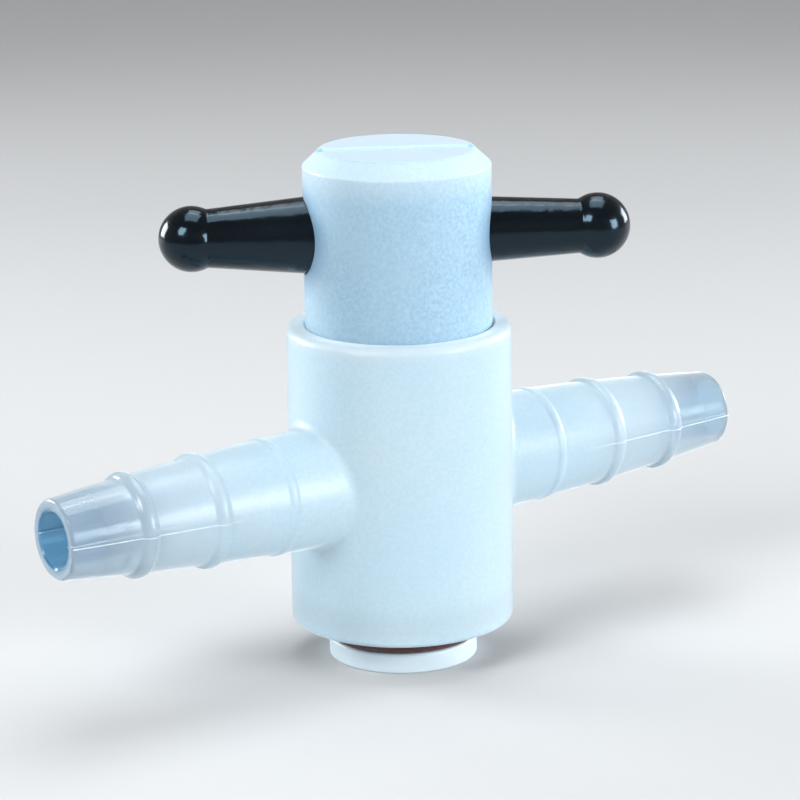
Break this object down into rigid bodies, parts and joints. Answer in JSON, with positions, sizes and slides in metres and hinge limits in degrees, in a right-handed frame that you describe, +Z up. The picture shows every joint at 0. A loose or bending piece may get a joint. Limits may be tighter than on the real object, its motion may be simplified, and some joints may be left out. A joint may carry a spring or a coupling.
{
  "type": "laboratory stopcock",
  "caption": "Moulded plastic stopcock: upright barrel with beaded hose tails on both sides, white tapered plug and black cross handle.",
  "frame": {"origin": "centre of the retaining ring's underside, which is also the centre of the bounding box's bottom", "axes": "+Z up along the plug's axis, +X along the two hose tails"},
  "size_m": [0.0848, 0.0276, 0.0558],
  "materials": {
    "natural_plastic": "translucent natural polypropylene, satin",
    "white_fluoropolymer": "white PTFE, waxy and faintly mottled",
    "black_plastic": "glossy black",
    "dark_rubber": "dark red-brown elastomer",
    "white_plastic": "white moulded plastic, satin"
  },
  "bodies": {
    "housing": {"body": "natural_plastic"},
    "plug_group": {"plug": "white_fluoropolymer", "handle_bar": "black_plastic", "o_ring": "dark_rubber", "retaining_ring": "white_plastic"}
  },
  "joints": [
    {"name": "plug_turn", "type": "hinge", "parent": "housing", "child": "plug_group", "pos_m": [0, 0, 0.0205], "axis": [0, 0, 1], "continuous": true}
  ]
}
